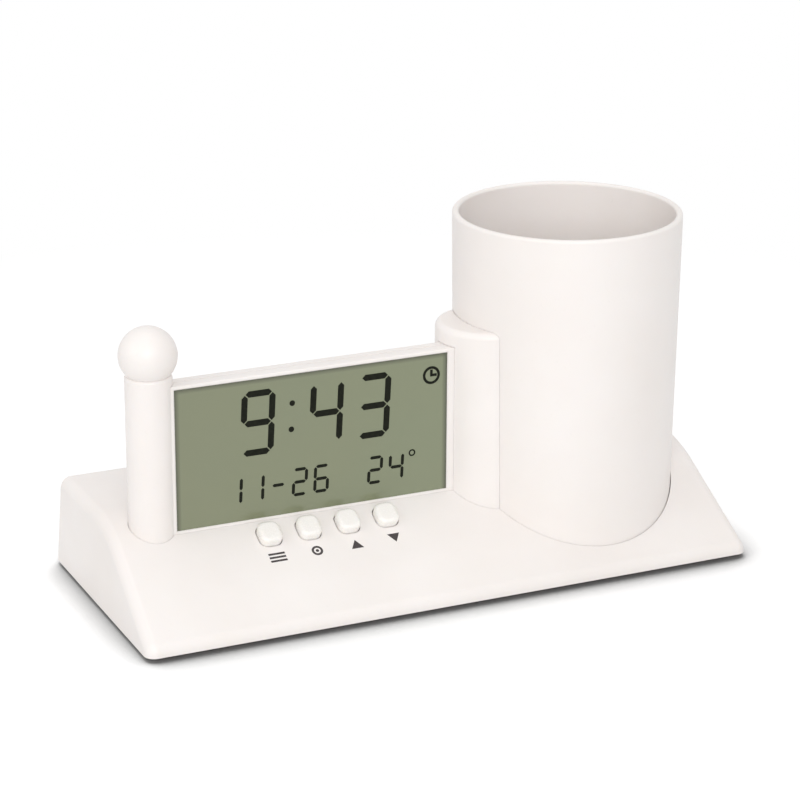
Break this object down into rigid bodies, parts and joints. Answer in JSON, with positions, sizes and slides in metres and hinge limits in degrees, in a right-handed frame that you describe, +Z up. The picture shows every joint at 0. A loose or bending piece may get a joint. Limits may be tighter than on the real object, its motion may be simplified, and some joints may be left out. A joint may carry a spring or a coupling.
{
  "type": "desk clock pen holder",
  "caption": "Wedge-shaped desk base with a round pen cup, an upright digital clock display between a ball-topped post and a column, and a row of push keys on the slope.",
  "frame": {"origin": "on the ground, under the middle of the base", "axes": "+X along the base towards the pen cup, +Y to the back, +Z up"},
  "size_m": [0.2128, 0.091, 0.1146],
  "materials": {
    "white_plastic": "satin warm white moulding",
    "key_plastic": "glossy white moulding",
    "lcd_glass": "grey-green liquid crystal glass",
    "reflector": "matt foil",
    "connector_rubber": "layered silicone",
    "circuit_board": "green solder mask",
    "black_plastic": "matt black",
    "foot_rubber": "matt rubber",
    "steel": "zinc plated",
    "contact_brass": "bright sheet",
    "battery_wrap": "plain printed wrap",
    "ribbon": "flat cable",
    "red_wire": "insulated wire",
    "black_wire": "insulated wire"
  },
  "bodies": {
    "housing": {"base_shell": "white_plastic", "bottom_cover": "white_plastic", "pen_cup": "white_plastic", "right_column": "white_plastic", "left_post": "white_plastic", "ball_finial": "white_plastic", "rubber_foot_1": "foot_rubber", "rubber_foot_2": "foot_rubber", "rubber_foot_3": "foot_rubber", "rubber_foot_4": "foot_rubber", "cover_screw_1": "steel", "cover_screw_2": "steel", "cover_screw_3": "steel", "cover_screw_4": "steel", "cup_screw_1": "steel", "cup_screw_2": "steel", "cup_screw_3": "steel", "column_screw": "steel", "post_screw": "steel", "panel_frame": "white_plastic", "panel_rear_cover": "white_plastic", "lcd_cell": "lcd_glass", "lcd_reflector": "reflector", "zebra_strip": "connector_rubber", "display_board": "circuit_board", "chip_blob": "black_plastic", "crystal": "steel", "ribbon_cable": "ribbon", "key_board": "circuit_board", "tact_switch_1": "black_plastic", "tact_switch_2": "black_plastic", "tact_switch_3": "black_plastic", "tact_switch_4": "black_plastic", "board_screw_1": "steel", "board_screw_2": "steel", "battery_tray": "white_plastic", "battery_cell_1": "battery_wrap", "battery_cell_2": "battery_wrap", "battery_contact_positive": "contact_brass", "battery_contact_negative": "contact_brass", "battery_contact_link": "contact_brass", "battery_lead_positive": "red_wire", "battery_lead_negative": "black_wire", "buzzer_disc": "contact_brass"},
    "key_1": {"button_cap_1": "key_plastic", "switch_plunger_1": "black_plastic"},
    "key_2": {"button_cap_2": "key_plastic", "switch_plunger_2": "black_plastic"},
    "key_3": {"button_cap_3": "key_plastic", "switch_plunger_3": "black_plastic"},
    "key_4": {"button_cap_4": "key_plastic", "switch_plunger_4": "black_plastic"},
    "door": {"battery_door": "white_plastic"}
  },
  "joints": [
    {"name": "key_1_press", "type": "slide", "parent": "housing", "child": "key_1", "axis": [0, 0.5064, -0.8623], "range_m": [0, 0.0008], "stiffness_N_per_m": 800},
    {"name": "key_2_press", "type": "slide", "parent": "housing", "child": "key_2", "axis": [0, 0.5064, -0.8623], "range_m": [0, 0.0008], "stiffness_N_per_m": 800},
    {"name": "key_3_press", "type": "slide", "parent": "housing", "child": "key_3", "axis": [0, 0.5064, -0.8623], "range_m": [0, 0.0008], "stiffness_N_per_m": 800},
    {"name": "key_4_press", "type": "slide", "parent": "housing", "child": "key_4", "axis": [0, 0.5064, -0.8623], "range_m": [0, 0.0008], "stiffness_N_per_m": 800},
    {"name": "battery_door_slide", "type": "slide", "parent": "housing", "child": "door", "axis": [0, 1, 0], "range_m": [0, 0.022]}
  ]
}
